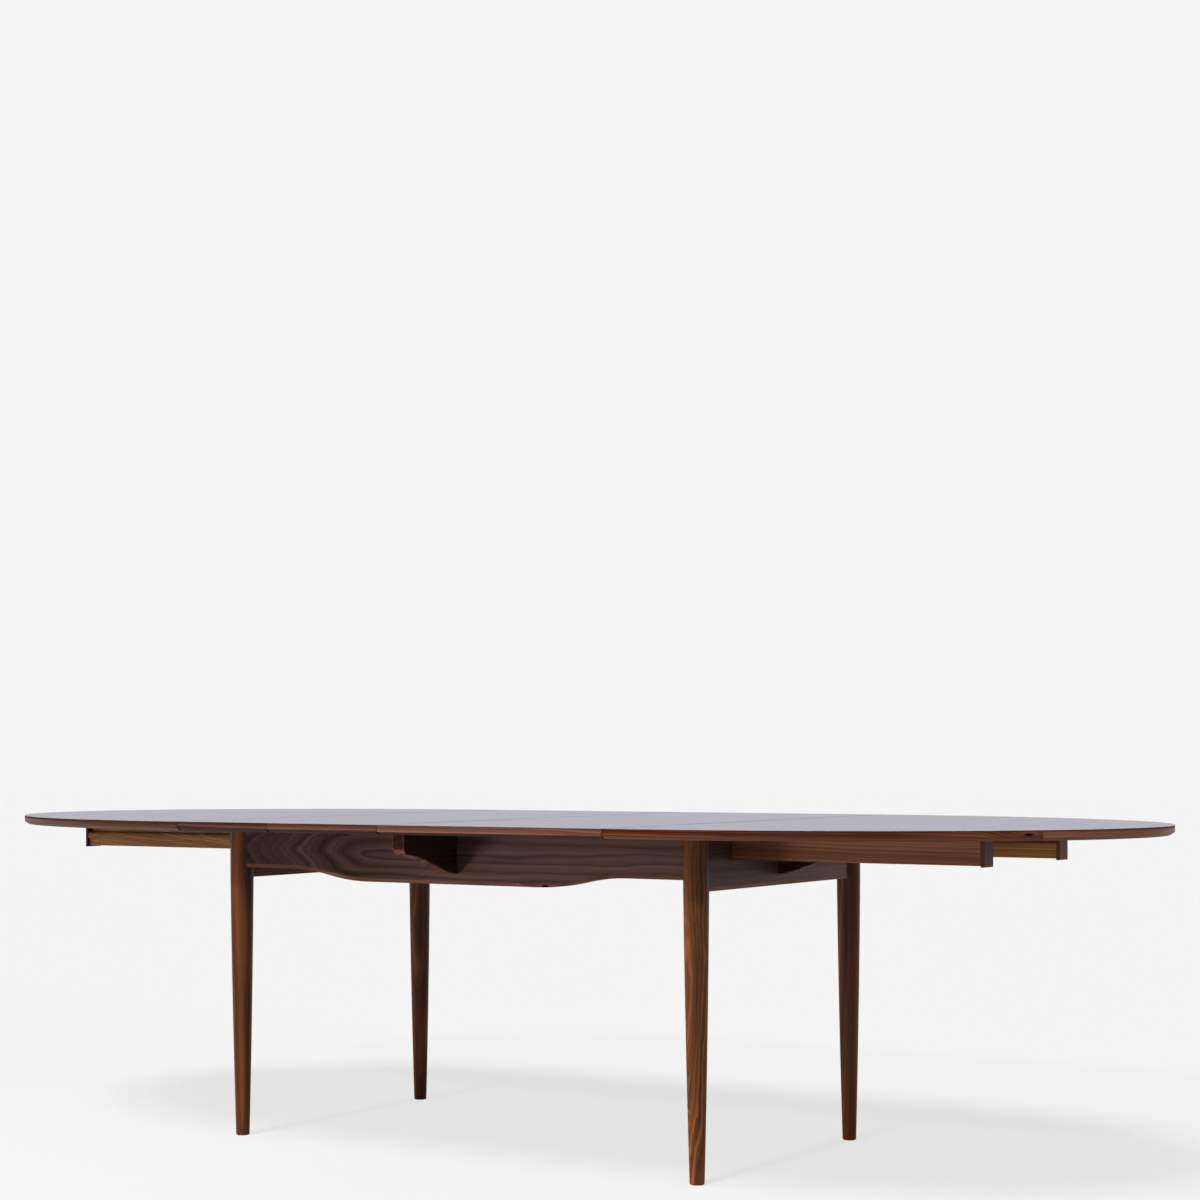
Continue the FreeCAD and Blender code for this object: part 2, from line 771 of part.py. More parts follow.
rail_screws = guide_screws()
for end_name, end in ends.items():
    save("cross_rail_" + end_name, cut_all(cross_rail(end), rail_screws))
    track = "outer" if end < 0 else "inner"
    for side_name, side in sides.items():
        save("guide_" + track + "_" + side_name, cut_all(guide(end, side), rail_screws))
save("guide_screws", Part.makeCompound(rail_screws))

# Half tops with their runners, caps, stops and screws

for end_name, end in ends.items():
    screws = []
    stops = []
    for side_name, side in sides.items():
        own_screws = runner_screws(end, side)
        bar = cut_all(runner_blank(end, side), own_screws + counterbores(end, side))
        save("runner_" + end_name + "_" + side_name, bar)
        save("runner_cap_" + end_name + "_" + side_name, cap(end, side))
        stops.append(cut_all(runner_stop(end, side), own_screws))
        screws += own_screws
    save("runner_stops_" + end_name, Part.makeCompound(stops))
    save("runner_screws_" + end_name, Part.makeCompound(screws))

    panel = half_panel()
    edge = half_edge()
    if end < 0:
        panel = cut_all(half_turn(panel), screws + seam_dowels(-leaf_width - seam_gap / 2))
        edge = half_turn(edge)
    else:
        panel = cut_all(panel, screws + dowel_holes(leaf_width + seam_gap / 2))
    save("top_" + end_name + "_panel", panel)
    save("top_" + end_name + "_edge", edge)

# Leaves and dowels

for end_name, end in ends.items():
    faces = sorted(leaf_limits(end))
    joints = dowel_holes(faces[0]) + seam_dowels(faces[1])
    save("leaf_" + end_name + "_panel", cut_all(leaf_panel(end), joints))
    for side_name, side in sides.items():
        save("leaf_" + end_name + "_edge_" + side_name, leaf_edge(end, side))
    save("leaf_" + end_name + "_dowels", Part.makeCompound(seam_dowels(faces[1])))
save("top_left_dowels", Part.makeCompound(seam_dowels(-leaf_width - seam_gap / 2)))
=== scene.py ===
import bpy
import math
import numpy as np
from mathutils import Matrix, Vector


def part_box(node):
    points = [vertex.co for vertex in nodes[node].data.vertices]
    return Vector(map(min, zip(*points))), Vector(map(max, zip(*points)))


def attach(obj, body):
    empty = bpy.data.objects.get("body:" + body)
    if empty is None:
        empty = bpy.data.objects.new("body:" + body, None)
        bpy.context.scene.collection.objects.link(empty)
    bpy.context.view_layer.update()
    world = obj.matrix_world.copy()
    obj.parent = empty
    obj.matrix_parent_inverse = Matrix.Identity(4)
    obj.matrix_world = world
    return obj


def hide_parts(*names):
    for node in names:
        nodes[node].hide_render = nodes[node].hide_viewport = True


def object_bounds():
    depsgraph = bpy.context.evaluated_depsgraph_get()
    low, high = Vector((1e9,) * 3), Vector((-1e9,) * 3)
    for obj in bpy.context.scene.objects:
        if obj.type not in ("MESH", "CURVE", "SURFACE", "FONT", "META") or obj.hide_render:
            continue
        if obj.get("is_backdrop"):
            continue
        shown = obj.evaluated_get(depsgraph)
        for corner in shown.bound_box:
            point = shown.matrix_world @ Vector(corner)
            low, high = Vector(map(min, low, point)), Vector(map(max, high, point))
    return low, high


# Oval extending dining table in rosewood, opened with both loose leaves in.
# The pieces come from the frame, in metres: X along the table, -Y the front, Z up.
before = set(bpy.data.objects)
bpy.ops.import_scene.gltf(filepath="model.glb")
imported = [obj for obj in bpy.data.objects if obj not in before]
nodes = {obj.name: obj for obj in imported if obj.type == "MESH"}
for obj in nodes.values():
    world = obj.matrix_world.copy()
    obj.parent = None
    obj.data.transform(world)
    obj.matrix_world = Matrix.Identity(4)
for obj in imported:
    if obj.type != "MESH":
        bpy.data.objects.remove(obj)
cad_low, cad_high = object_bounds()
sides = {"front": -1, "back": 1}
ends = {"left": -1, "right": 1}


# Legs
# Four legs turned from solid rosewood, thickest just under the aprons, rounded at the foot
# and glued and screwed to the corner blocks. Turning cuts through the rings of the wood, so
# long dark streaks run up each leg over a warm brown ground.

def linear(code):
    """Linear colour from an sRGB hex code such as 5A3A2C."""
    parts = np.array([int(code[i:i + 2], 16) for i in (0, 2, 4)]) / 255
    low, high = parts / 12.92, ((parts + 0.055) / 1.055) ** 2.4
    return (*np.where(parts <= 0.04045, low, high).tolist(), 1.0)


def add(tree, kind, values=None, links=None, **settings):
    """Add one shader node with its settings, the constants of its inputs and its links."""
    node = tree.nodes.new("ShaderNode" + kind)
    for name, value in settings.items():
        setattr(node, name, value)
    for name, value in (values or {}).items():
        node.inputs[name].default_value = value
    for name, output in (links or {}).items():
        tree.links.new(output, node.inputs[name])
    return node


def fill_ramp(ramp, codes, places=None):
    """Set hex codes along a colour ramp, evenly spread where no places are given."""
    elements = ramp.color_ramp.elements
    while len(elements) < len(codes):
        elements.new(1.0)
    places = np.linspace(0.0, 1.0, len(codes)) if places is None else places
    for element, place, code in zip(elements, places, codes):
        element.position = place
        element.color = linear(code)


def empty_material(name):
    """New material with no nodes, and its tree."""
    material = bpy.data.materials.new(name)
    material.use_nodes = True
    material.node_tree.nodes.clear()
    return material, material.node_tree


def log_distance(tree, log, rise, wander, seed):
    """Distance of a point from the log's axis. Slow noise, drawn out along the log, first
    moves the point aside by about the wander, since its values reach a quarter to each side
    of their middle. Past the pith the axis leans away from the face by the rise, so that the
    rings turn into nested arches. Returns the distance and the slow noise."""
    noise_per_metre = (2.2, 16.0, 16.0)
    noise_reach = 0.25
    soft_turn = 0.02
    stretched = add(tree, "VectorMath", {1: noise_per_metre}, {0: log}, operation="MULTIPLY")
    drift = add(tree, "TexNoise", {"W": seed, "Scale": 1.0, "Detail": 4.0, "Roughness": 0.5},
                {"Vector": stretched.outputs["Vector"]}, noise_dimensions="4D")
    centred = add(tree, "VectorMath", {1: (0.5, 0.5, 0.5)}, {0: drift.outputs["Color"]},
                  operation="SUBTRACT")
    sideways = wander / noise_reach
    bent = add(tree, "VectorMath", {1: (0.0, sideways, sideways)},
               {0: centred.outputs["Vector"], 2: log}, operation="MULTIPLY_ADD")
    bent_parts = add(tree, "SeparateXYZ", {}, {"Vector": bent.outputs["Vector"]})
    climb = add(tree, "Math", {1: rise}, {0: bent_parts.outputs["X"]}, operation="MULTIPLY")
    aside = add(tree, "Math", {1: 0.0, 2: soft_turn}, {0: climb.outputs["Value"]},
                operation="SMOOTH_MAX")
    away = add(tree, "Math", {}, {0: aside.outputs["Value"], 1: bent_parts.outputs["Y"]},
               operation="ADD")
    across = add(tree, "CombineXYZ", {}, {"Y": away.outputs["Value"],
                                          "Z": bent_parts.outputs["Z"]})
    radius = add(tree, "VectorMath", {}, {0: across.outputs["Vector"]}, operation="LENGTH")
    return radius.outputs["Value"], drift.outputs["Fac"]


def knot_distance(tree, place, centre, size):
    """Distance of a point from the middle of a knot, in knot sizes along each axis."""
    beside = add(tree, "VectorMath", {1: centre}, {0: place}, operation="SUBTRACT")
    shrunk = add(tree, "VectorMath", {1: [1 / length for length in size]},
                 {0: beside.outputs["Vector"]}, operation="MULTIPLY")
    off = add(tree, "VectorMath", {}, {0: shrunk.outputs["Vector"]}, operation="LENGTH")
    return off.outputs["Value"]


def wood(name, tones, vein, pith, along="X", lean=(0.0, 0.0), rise=0.0, ring=0.006,
         wander=0.010, veins=0.6, bands=(), fades=(), contrast=1.0, pores=0.35,
         fibre=(0.030, 0.0012), roughness=0.32, specular=0.3, seed=0.0, match=None,
         attribute=None, joints=(), glue_and_shade_line=None, knot=None, end_grain=0.4,
         painted_shade_faces=None, painted_underside=None):
    """Wood of one log, whose axis runs through the pith along X, Y or Z, turned by the lean.
    Noise along a point's distance from that axis gives rings of uneven width, which pick the
    tone, with thin dark veins between. Bands are distances at which the rings darken, and
    each fade darkens them up to a place along X. Fine fibres and open pores run along the
    axis. End grain is darker. Faces whose normal lies along an axis given a share in the
    painted shade faces take that share of the dark colour as painted shade. Faces that look
    down take a share of a painted colour that stands in for the light and shade they get. A
    veneer is folded at every match width, so that neighbouring leaves mirror each other. Dark
    lines mark butt joints at places along X, and at a height the glue line, which is partly
    painted shade. The rings part round a knot, which has a middle, a size and a push in metres."""
    material, tree = empty_material(name)

    # The point in the log's own axes: X along the log, Y and Z across it.
    turn = {"X": (0.0, lean[0], lean[1]),
            "Y": (lean[0], 0.0, math.pi / 2 + lean[1]),
            "Z": (lean[1], -math.pi / 2 + lean[0], 0.0)}[along]
    if attribute:
        place = add(tree, "Attribute", attribute_name=attribute).outputs["Vector"]
    else:
        place = add(tree, "TexCoord").outputs["Object"]
    apart = add(tree, "SeparateXYZ", {}, {"Vector": place})
    if match:
        folded = add(tree, "Math", {1: match}, {0: apart.outputs["Y"]}, operation="PINGPONG")
        place = add(tree, "CombineXYZ", {}, {"X": apart.outputs["X"], "Y": folded.outputs["Value"],
                                             "Z": apart.outputs["Z"]}).outputs["Vector"]
    log = add(tree, "Mapping", {"Location": pith, "Rotation": turn}, {"Vector": place},
              vector_type="TEXTURE").outputs["Vector"]
    radius, drift = log_distance(tree, log, rise, wander, seed)
    if knot:
        centre, size, push = knot
        off = knot_distance(tree, place, centre, size)
        push_reach = 12.0
        swell = add(tree, "MapRange", {"From Max": push_reach, "To Min": push, "To Max": 0.0},
                    {"Value": off}, interpolation_type="SMOOTHSTEP")
        radius = add(tree, "Math", {}, {0: radius, 1: swell.outputs["Result"]},
                     operation="ADD").outputs["Value"]

    # The figure adds up the rings, the wider zones that they lie in, the slow noise and the
    # fibres. Each of these noises has its middle at a half.
    zones_per_ring = 0.18
    rings = add(tree, "TexNoise", {"Scale": 1 / ring, "Detail": 2.5, "Roughness": 0.62},
                {"W": radius}, noise_dimensions="1D").outputs["Fac"]
    zones = add(tree, "TexNoise", {"Scale": zones_per_ring / ring, "Detail": 1.0,
                                   "Roughness": 0.5},
                {"W": radius}, noise_dimensions="1D").outputs["Fac"]
    length, width = fibre
    grain = add(tree, "VectorMath", {1: (1 / length, 1 / width, 1 / width)}, {0: log},
                operation="MULTIPLY")
    fibres = add(tree, "TexNoise", {"W": seed, "Scale": 1.0, "Detail": 2.0, "Roughness": 0.55},
                 {"Vector": grain.outputs["Vector"]}, noise_dimensions="4D").outputs["Fac"]
    shares = ((zones, 0.9), (drift, 0.35), (fibres, 0.25))
    figure = rings
    for part, share in shares:
        figure = add(tree, "Math", {1: share}, {0: part, 2: figure},
                     operation="MULTIPLY_ADD").outputs["Value"]
    figure_middle = 0.5 * (1 + sum(share for part, share in shares))
    figure_reach = 0.4 / contrast
    if bands:
        band_steps, band_depth = (-0.008, 0.0, 0.003), 0.30
        ramp_length = 1.2 * bands[-1]
        nearness = add(tree, "Math", {1: 1 / ramp_length}, {0: radius}, operation="MULTIPLY")
        dips = add(tree, "ValToRGB", {}, {"Fac": nearness.outputs["Value"]})
        places = [(band + step) / ramp_length for band in bands for step in band_steps]
        fill_ramp(dips, ("000000", "FFFFFF", "000000") * len(bands), places)
        figure = add(tree, "Math", {1: -band_depth}, {0: dips.outputs["Color"], 2: figure},
                     operation="MULTIPLY_ADD").outputs["Value"]
    for dark_end, light_end, amount in fades:
        gloom = add(tree, "MapRange", {"From Min": dark_end, "From Max": light_end,
                                       "To Min": -amount, "To Max": 0.0},
                    {"Value": apart.outputs["X"]}, interpolation_type="SMOOTHSTEP")
        figure = add(tree, "Math", {}, {0: gloom.outputs["Result"], 1: figure},
                     operation="ADD").outputs["Value"]
    spread = add(tree, "MapRange", {"From Min": figure_middle - figure_reach,
                                    "From Max": figure_middle + figure_reach},
                 {"Value": figure})
    colour = add(tree, "ValToRGB", {}, {"Fac": spread.outputs["Result"]})
    fill_ramp(colour, tones)

    # Shares of the dark vein colour: thin veins where the rings' noise crosses its middle,
    # open pores, the knot's heart, end grain, the faces of painted shade, and the joints. The
    # surface is dull on the knot and beside the joints.
    vein_reach = 0.045
    level = add(tree, "Math", {1: 0.5}, {0: rings}, operation="SUBTRACT")
    near = add(tree, "Math", {}, {0: level.outputs["Value"]}, operation="ABSOLUTE")
    line = add(tree, "MapRange", {"From Max": vein_reach, "To Min": veins, "To Max": 0.0},
               {"Value": near.outputs["Value"]}, interpolation_type="SMOOTHSTEP")
    patchy = add(tree, "Math", {}, {0: line.outputs["Result"], 1: zones}, operation="MULTIPLY")
    open_pores = add(tree, "MapRange", {"From Min": 0.58, "From Max": 0.70, "To Max": pores},
                     {"Value": fibres})
    dark = [patchy.outputs["Value"], open_pores.outputs["Result"]]
    shine = None
    if knot:
        dark.append(add(tree, "MapRange", {"From Min": 0.7, "From Max": 1.2, "To Min": 1.0,
                                           "To Max": 0.0},
                        {"Value": off}).outputs["Result"])
        shine = add(tree, "MapRange", {"From Min": 0.9, "From Max": 1.4, "To Max": specular},
                    {"Value": off}).outputs["Result"]
    normal = add(tree, "NewGeometry").outputs["Normal"]
    outward = add(tree, "SeparateXYZ", {}, {"Vector": normal})
    faces = {} if attribute else {along: end_grain}
    faces.update(painted_shade_faces or {})
    # End grain darkens, and the faces of painted shade take painted shade.
    for axis, share in faces.items():
        facing = add(tree, "Math", {}, {0: outward.outputs[axis]}, operation="ABSOLUTE")
        dark.append(add(tree, "MapRange", {"From Min": 0.90, "From Max": 0.99, "To Max": share},
                        {"Value": facing.outputs["Value"]}).outputs["Result"])
    line_inside, line_outside, line_share = 0.0003, 0.0012, 0.45
    dull_inside, dull_outside = 0.0030, 0.0050
    gaps = [(apart.outputs["X"], joint) for joint in joints]
    if glue_and_shade_line:
        gaps.append((apart.outputs["Z"], glue_and_shade_line))
    for where, line_place in gaps:
        gap = add(tree, "Math", {1: line_place}, {0: where}, operation="SUBTRACT")
        apart_by = add(tree, "Math", {}, {0: gap.outputs["Value"]}, operation="ABSOLUTE")
        dark.append(add(tree, "MapRange", {"From Min": line_inside, "From Max": line_outside,
                                           "To Min": line_share, "To Max": 0.0},
                        {"Value": apart_by.outputs["Value"]}).outputs["Result"])
        dull = add(tree, "MapRange", {"From Min": dull_inside, "From Max": dull_outside,
                                      "To Max": specular},
                   {"Value": apart_by.outputs["Value"]}).outputs["Result"]
        if shine:
            dull = add(tree, "Math", {}, {0: shine, 1: dull},
                       operation="MINIMUM").outputs["Value"]
        shine = dull

    # The surface: the figure's tones, the painted light and shade of faces that look down, then
    # the dark shares, with a fine relief and an uneven sheen from the fibres.
    relief = 0.00004
    base = colour.outputs["Color"]
    if painted_underside:
        code, share = painted_underside
        below = add(tree, "MapRange", {"From Min": -0.35, "From Max": -0.70, "To Max": share},
                    {"Value": outward.outputs["Z"]})
        base = add(tree, "Mix", {"B": linear(code)},
                   {"Factor": below.outputs["Result"], "A": base},
                   data_type="RGBA").outputs["Result"]
    for share in dark:
        base = add(tree, "Mix", {"B": linear(vein)}, {"Factor": share, "A": base},
                   data_type="RGBA").outputs["Result"]
    bump = add(tree, "Bump", {"Strength": 1.0, "Distance": relief}, {"Height": fibres})
    sheen = add(tree, "MapRange", {"To Min": roughness - 0.04, "To Max": roughness + 0.05},
                {"Value": fibres})
    surface = add(tree, "BsdfPrincipled", {"IOR": 1.5, "Specular IOR Level": specular},
                  {"Base Color": base, "Normal": bump.outputs["Normal"],
                   "Roughness": sheen.outputs["Result"]})
    if shine:
        tree.links.new(shine, surface.inputs["Specular IOR Level"])
    add(tree, "OutputMaterial", {}, {"Surface": surface.outputs["BSDF"]})
    return material


def finish(node, material):
    """Give a piece of the frame its material in every slot."""
    mesh = nodes[node].data
    if not mesh.materials:
        mesh.materials.append(material)
    for slot in range(len(mesh.materials)):
        mesh.materials[slot] = material


# Turned and oiled rosewood: warm red brown with dark streaks and a soft sheen. Each leg has
# its own tones, size of rings, wander and strength of veins. The heart of its log lies
# outside the leg, towards the table's end and back.
# The front right leg's lighter tones are partly painted light from the right.
legs = {("front", "left"): (("270E06", "4A220B", "693610", "794218", "895024"),
                            0.006, 0.006, 0.3),
        ("front", "right"): (("30170A", "5D3113", "834B1D", "955A27", "A96A34"),
                             0.005, 0.020, 0.9),
        ("back", "left"): (("210C04", "411C08", "5A2C0F", "6B3915", "7C461D"),
                           0.006, 0.014, 0.6),
        ("back", "right"): (("281008", "4D2311", "68361B", "7C4523", "8E552E"),
                            0.007, 0.006, 0.4)}
heart_outwards, heart_backwards = 0.045, 0.05
for number, ((side_name, end_name), (tones, ring, wander, veins)) in enumerate(legs.items()):
    low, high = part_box("leg_%s_%s" % (side_name, end_name))
    middle = (low + high) / 2
    heart = (middle.x + heart_outwards * ends[end_name], middle.y + heart_backwards, 0.0)
    leg_wood = wood("turned_rosewood_%s_%s" % (side_name, end_name), tones, vein="1A0B05",
                    pith=heart, along="Z", lean=(0.03, 0.02), ring=ring, wander=wander,
                    veins=veins, pores=0.5, fibre=(0.020, 0.0012), specular=0.5,
                    seed=2.0 * number)
    finish("leg_%s_%s" % (side_name, end_name), leg_wood)


# Aprons
# Four boards between the legs, faced with rosewood veneer and tenoned into the legs. The two
# long ones have a wave along the bottom, and the end ones are notched for the runners.

# Sliced veneer, oiled: darker and more purple than the solid parts, with nested arches where
# the slice left the heart of the log.
apron_tones = ("2A1C1A", "453029", "634740", "775852", "8C6B64")
heart_x, heart_height = -0.220, 0.647
long_rise = -0.36
long_bands = (0.010, 0.029, 0.050, 0.076, 0.127)
heart_fades = [(-0.32, 0.10, 0.50)]
for number, side_name in enumerate(sides):
    low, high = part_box("apron_" + side_name)
    face = low.y if side_name == "front" else high.y
    veneer = wood("sliced_rosewood_veneer_" + side_name, apron_tones, vein="150A08",
                  pith=(heart_x, face, heart_height), rise=long_rise, ring=0.009, wander=0.012,
                  veins=0.25, bands=long_bands, fades=heart_fades, contrast=0.45,
                  roughness=0.30, specular=0.2, seed=21.0 + number)
    finish("apron_" + side_name, veneer)
for number, end_name in enumerate(ends):
    low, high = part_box("apron_" + end_name)
    face = low.x if end_name == "left" else high.x
    veneer = wood("sliced_rosewood_veneer_" + end_name, apron_tones, vein="150A08",
                  pith=(face, 0.40, 0.60), along="Y", rise=0.12, ring=0.005, wander=0.010,
                  veins=0.3, contrast=0.7, roughness=0.30, seed=25.0 + number)
    finish("apron_" + end_name, veneer)


# Apron strips
# Solid rosewood strips glued under the aprons, sawn to the wave and sanded flush.
# They are a lighter orange brown than the veneer, with the grain running level through them,
# and the front one has a small dark knot beside its right joint.
strip_tones = ("4F2D20", "724735", "865B44", "916A54", "9B7867")
low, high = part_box("apron_strip_front")
# The knot's middle, its size along each axis, and how far it pushes the rings aside.
strip_knot = ((0.243, low.y, low.z + 0.003), (0.008, 1.0, 0.003), 0.006)
for number, side_name in enumerate((*sides, *ends)):
    strip_wood = wood("sanded_rosewood_strip_" + side_name, strip_tones, vein="1E0E08",
                      pith=(0.0, 0.0, 0.52), along="X" if side_name in sides else "Y",
                      ring=0.005, wander=0.004, veins=0.5, roughness=0.34,
                      seed=31.0 + number, knot=strip_knot if side_name == "front" else None)
    finish("apron_strip_" + side_name, strip_wood)


# Corner blocks
# Three-cornered beech blocks glued and screwed behind the legs, planed and left bare. Planed
# beech is pale and pinkish, with short fine flecks and a dry surface.

def beech(name, height, seed, along="X", ring=0.004, wander=0.006, roughness=0.55):
    """Beech from a log whose axis passes the table's middle at a height."""
    return wood(name, ("8E6C4C", "A4825E", "B4926C", "C2A27C", "CCAE8A"), vein="6E4E34",
                pith=(0.0, 0.0, height), along=along, ring=ring, wander=wander, veins=0.2,
                pores=0.4, fibre=(0.006, 0.0008), roughness=roughness, seed=seed)


block_wood = beech("planed_beech_blocks", height=0.3, seed=41.0, along="Z")
for side_name in sides:
    for end_name in ends:
        finish("corner_block_%s_%s" % (side_name, end_name), block_wood)


# Cross rails and guides
# Two flat beech rails run between the long aprons and carry four beech guides, whose tongues
# fit the grooves of the runners. All are planed, and the guides are waxed too.
rail_wood = beech("planed_beech_rails", height=0.50, seed=43.0, along="Y")
guide_wood = beech("waxed_beech_guides", height=0.50, seed=45.0, roughness=0.42)
for end_name, track in (("left", "outer"), ("right", "inner")):
    finish("cross_rail_" + end_name, rail_wood)
    for side_name in sides:
        finish("guide_%s_%s" % (track, side_name), guide_wood)


# Brackets
# Four shaped rosewood arms screwed to the aprons from inside. They carry the top where it
# stands out past the frame.

# Sawn, sanded round along the lower edges and oiled. The broad faces are painted much darker
# than the sanded edges, as painted shade. The end grain is darker, partly as real end grain
# and partly as painted shade.
bracket_tones = ("3A1D12", "643825", "814F36", "976449", "AA7656")
for number, name in enumerate((*sides, *ends)):
    along, across = ("Y", "X") if name in sides else ("X", "Y")
    bracket_wood = wood("sanded_rosewood_bracket_" + name, bracket_tones, vein="1A0C08",
                        pith=(0.02, 0.02, 0.56), along=along, lean=(0.15, 0.0), ring=0.006,
                        wander=0.006, roughness=0.34, specular=0.2, seed=51.0 + number,
                        end_grain=0.88, painted_shade_faces={across: 0.80})
    finish("bracket_" + name, bracket_wood)


# Runners
# Four long runners under the half tops, each with a rounded ridge under a groove on one side.
# They are of a lighter straight-grained wood, planed and waxed so that they slide.
# The growth rings stand close together and show as fine lines along the bar.

# Each runner has its tones, the colour of its veins, how far its grain leans across the bar
# and how strong the veins are.
left_runner = (("573519", "764D2D", "8A5F3B", "976C44", "A67C57"), "3A2210", 0.10, 0.9)
runners = {("left", "front"): left_runner, ("left", "back"): left_runner,
           ("right", "front"): (("663A20", "8A5437", "A06748", "AF7554", "C08668"),
                                "4A2C14", 0.01, 0.4),
           # The back right runner is painted lighter than the others, partly as lighter wood and
           # partly as painted light.
           ("right", "back"): (("814D24", "AC6F3E", "C88750", "DA995D", "EFB073"),
                               "4A2C14", 0.01, 0.3)}
heart_backwards, heart_below = 0.03, 0.12
for number, ((end_name, side_name), (tones, vein, lean, veins)) in enumerate(runners.items()):
    low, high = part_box("runner_%s_%s" % (end_name, side_name))
    middle = (low + high) / 2
    heart = (middle.x, middle.y + heart_backwards, middle.z - heart_below)
    runner_wood = wood("waxed_runner_wood_%s_%s" % (end_name, side_name), tones, vein,
                       pith=heart, lean=(lean, 0.01), ring=0.004, wander=0.003, veins=veins,
                       pores=0.3, roughness=0.42, seed=61.0 + number)
    finish("runner_%s_%s" % (end_name, side_name), runner_wood)


# Runner caps
# A thin rosewood plate glued on the outer end of each runner hides its end grain. Its grain
# stands upright and its front edges are sanded round.
# The left caps are painted very dark, as painted shade on the face that shows.
left_cap_painted_shade = ("13090A", "21100F", "2C1815", "37221F", "402C29")
caps = {("left", "front"): left_cap_painted_shade, ("left", "back"): left_cap_painted_shade,
        ("right", "front"): ("361B16", "512A1F", "693728", "7D4936", "905B45"),
        ("right", "back"): ("401D14", "5F2C1D", "7B3A26", "924D33", "A85F41")}
heart_rightwards, heart_forwards = 0.03, 0.04
for number, ((end_name, side_name), tones) in enumerate(caps.items()):
    low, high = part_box("runner_cap_%s_%s" % (end_name, side_name))
    middle = (low + high) / 2
    heart = (middle.x + heart_rightwards, middle.y - heart_forwards, 0.0)
    cap_wood = wood("sanded_rosewood_cap_%s_%s" % (end_name, side_name), tones, vein="180B08",
                    pith=heart, along="Z", ring=0.004, wander=0.003, roughness=0.34,
                    seed=71.0 + number)
    finish("runner_cap_%s_%s" % (end_name, side_name), cap_wood)


# Stop blocks
# Small beech blocks screwed under the runners, which meet the end aprons when the half tops
# are pulled out. Planed and left bare.
stop_wood = beech("planed_beech_stops", height=0.58, seed=47.0)
for end_name in ends:
    finish("runner_stops_" + end_name, stop_wood)


# Half top boards
# Two half ovals of board, faced with rosewood veneer that runs out over the solid edge.
# The veneer leaves lie lengthwise and are book-matched, so the figure mirrors at each joint.

# Oiled and rubbed: a dark ground with warm streaks and an even silky sheen.
leaf_width = 0.55
leaf_match = 0.30
top_tones = ("33190F", "4C2A1B", "623B27", "754B34", "8A5E45")
top_veneer = wood("matched_rosewood_veneer", top_tones, vein="1C0D08",
                  pith=(-0.45, 0.11, 0.70), rise=0.10, ring=0.007, wander=0.016, veins=0.7,
                  roughness=0.22, specular=0.5, seed=81.0, match=leaf_match,
                  joints=(-leaf_width, 0.0, leaf_width))
for end_name in ends:
    finish("top_%s_panel" % end_name, top_veneer)


# Oval edges
# The solid rosewood edge round each half top: three lengths sawn to the curve, butted and
# glued to the board, and bevelled underneath. The grain runs along the edge, so the lines
# follow the oval, and each length has its own figure.

# Sawn, sanded and oiled. The bevels, which look down, take a paler painted colour that stands
# for the light and reflection they catch from the floor. The first length on the right is
# redder than the others, and darker along its first half metre, least so beside the seam.
edge_lengths = 3
edge_steps = 64
brown_edge = ("200D0A", "361B14", "492A1D", "55332A", "613F37")
red_edge = ("2A0E06", "4F240F", "7E4226", "965634", "B07048")
pale_edge = ("42241E", "6C4430", "8F5A3F", "A36C50", "B7805F")
edge_tones = {"left": (brown_edge, brown_edge, brown_edge),
              "right": (red_edge, pale_edge, pale_edge)}


def link(name, data):
    """New object of some data, linked into the scene."""
    thing = bpy.data.objects.new(name, data)
    bpy.context.scene.collection.objects.link(thing)
    return thing


